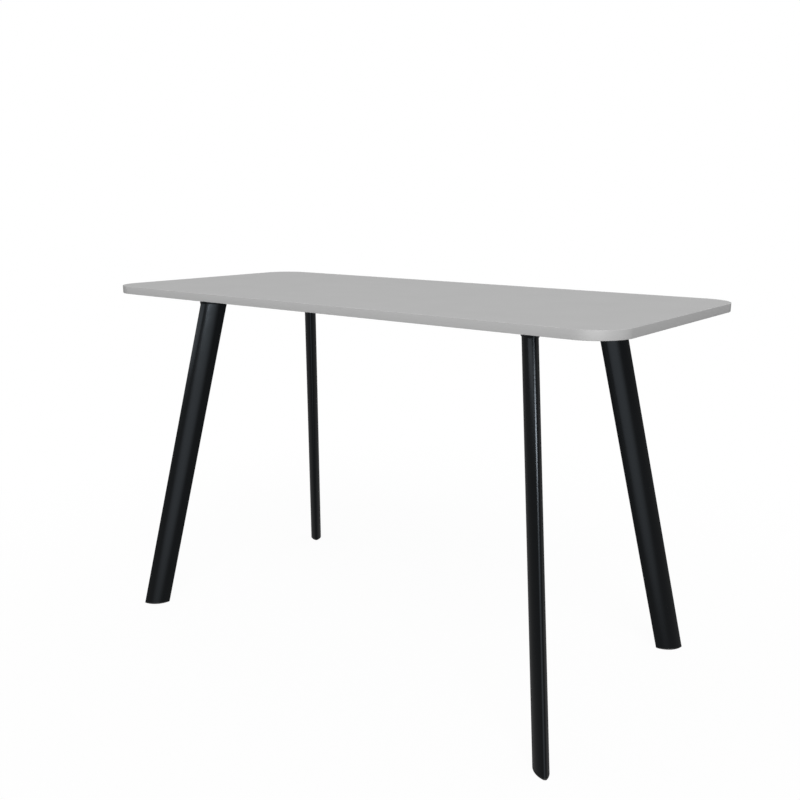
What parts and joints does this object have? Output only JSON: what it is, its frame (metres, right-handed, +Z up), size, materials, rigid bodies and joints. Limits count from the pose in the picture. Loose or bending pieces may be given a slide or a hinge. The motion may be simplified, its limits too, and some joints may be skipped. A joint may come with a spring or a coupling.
{
  "type": "standing meeting table",
  "caption": "Standing-height meeting table: rectangular top with rounded corners on a steel underframe with splayed oval legs and levelling glides.",
  "frame": {"origin": "on the floor under the middle of the top", "axes": "+X along the length of the top, +Y across it towards the rear, +Z up"},
  "size_m": [1.8, 0.8656, 1.1],
  "materials": {
    "laminate": "matte grey high-pressure laminate",
    "edging": "grey ABS edge band with rounded arrises",
    "chipboard": "raw chipboard",
    "black_steel": "black satin powder coat",
    "black_nylon": "moulded black nylon",
    "zinc_steel": "bright zinc plate"
  },
  "bodies": {
    "frame": {"top_laminate": "laminate", "backing_laminate": "laminate", "edge_band": "edging", "top_core": "chipboard", "cross_rail_left": "black_steel", "cross_rail_right": "black_steel", "long_rail_front": "black_steel", "long_rail_rear": "black_steel", "leg_tube_front_left": "black_steel", "leg_flange_front_left": "black_steel", "foot_cap_front_left": "black_nylon", "rail_cap_front_left": "black_nylon", "glide_bush_front_left": "zinc_steel", "leg_bolt_near_front_left": "zinc_steel", "leg_bolt_far_front_left": "zinc_steel", "leg_tube_front_right": "black_steel", "leg_flange_front_right": "black_steel", "foot_cap_front_right": "black_nylon", "rail_cap_front_right": "black_nylon", "glide_bush_front_right": "zinc_steel", "leg_bolt_near_front_right": "zinc_steel", "leg_bolt_far_front_right": "zinc_steel", "leg_tube_rear_left": "black_steel", "leg_flange_rear_left": "black_steel", "foot_cap_rear_left": "black_nylon", "rail_cap_rear_left": "black_nylon", "glide_bush_rear_left": "zinc_steel", "leg_bolt_near_rear_left": "zinc_steel", "leg_bolt_far_rear_left": "zinc_steel", "leg_tube_rear_right": "black_steel", "leg_flange_rear_right": "black_steel", "foot_cap_rear_right": "black_nylon", "rail_cap_rear_right": "black_nylon", "glide_bush_rear_right": "zinc_steel", "leg_bolt_near_rear_right": "zinc_steel", "leg_bolt_far_rear_right": "zinc_steel", "cross_screw_left_front": "zinc_steel", "long_screw_front_left": "zinc_steel", "cross_screw_left_rear": "zinc_steel", "long_screw_rear_left": "zinc_steel", "cross_screw_right_front": "zinc_steel", "long_screw_front_right": "zinc_steel", "cross_screw_right_rear": "zinc_steel", "long_screw_rear_right": "zinc_steel"},
    "pad_front_left": {"glide_pad_front_left": "black_nylon"},
    "stud_front_left": {"glide_stud_front_left": "zinc_steel"},
    "pad_front_right": {"glide_pad_front_right": "black_nylon"},
    "stud_front_right": {"glide_stud_front_right": "zinc_steel"},
    "pad_rear_left": {"glide_pad_rear_left": "black_nylon"},
    "stud_rear_left": {"glide_stud_rear_left": "zinc_steel"},
    "pad_rear_right": {"glide_pad_rear_right": "black_nylon"},
    "stud_rear_right": {"glide_stud_rear_right": "zinc_steel"}
  },
  "joints": [
    {"name": "pad_slide_front_left", "type": "slide", "parent": "frame", "child": "pad_front_left", "axis": [0, 0, -1], "range_m": [0, 0.01]},
    {"name": "stud_turn_front_left", "type": "hinge", "parent": "pad_front_left", "child": "stud_front_left", "pos_m": [-0.774, -0.401, 0.02], "axis": [0, 0, 1], "range_deg": [0, 2880]},
    {"name": "pad_slide_front_right", "type": "slide", "parent": "frame", "child": "pad_front_right", "axis": [0, 0, -1], "range_m": [0, 0.01]},
    {"name": "stud_turn_front_right", "type": "hinge", "parent": "pad_front_right", "child": "stud_front_right", "pos_m": [0.774, -0.401, 0.02], "axis": [0, 0, 1], "range_deg": [0, 2880]},
    {"name": "pad_slide_rear_left", "type": "slide", "parent": "frame", "child": "pad_rear_left", "axis": [0, 0, -1], "range_m": [0, 0.01]},
    {"name": "stud_turn_rear_left", "type": "hinge", "parent": "pad_rear_left", "child": "stud_rear_left", "pos_m": [-0.774, 0.401, 0.02], "axis": [0, 0, 1], "range_deg": [0, 2880]},
    {"name": "pad_slide_rear_right", "type": "slide", "parent": "frame", "child": "pad_rear_right", "axis": [0, 0, -1], "range_m": [0, 0.01]},
    {"name": "stud_turn_rear_right", "type": "hinge", "parent": "pad_rear_right", "child": "stud_rear_right", "pos_m": [0.774, 0.401, 0.02], "axis": [0, 0, 1], "range_deg": [0, 2880]}
  ],
  "couplings": [
    {"joint": "stud_turn_front_left", "follows": "pad_slide_front_left", "rad_per_m": 5026.5},
    {"joint": "stud_turn_front_right", "follows": "pad_slide_front_right", "rad_per_m": 5026.5},
    {"joint": "stud_turn_rear_left", "follows": "pad_slide_rear_left", "rad_per_m": 5026.5},
    {"joint": "stud_turn_rear_right", "follows": "pad_slide_rear_right", "rad_per_m": 5026.5}
  ]
}
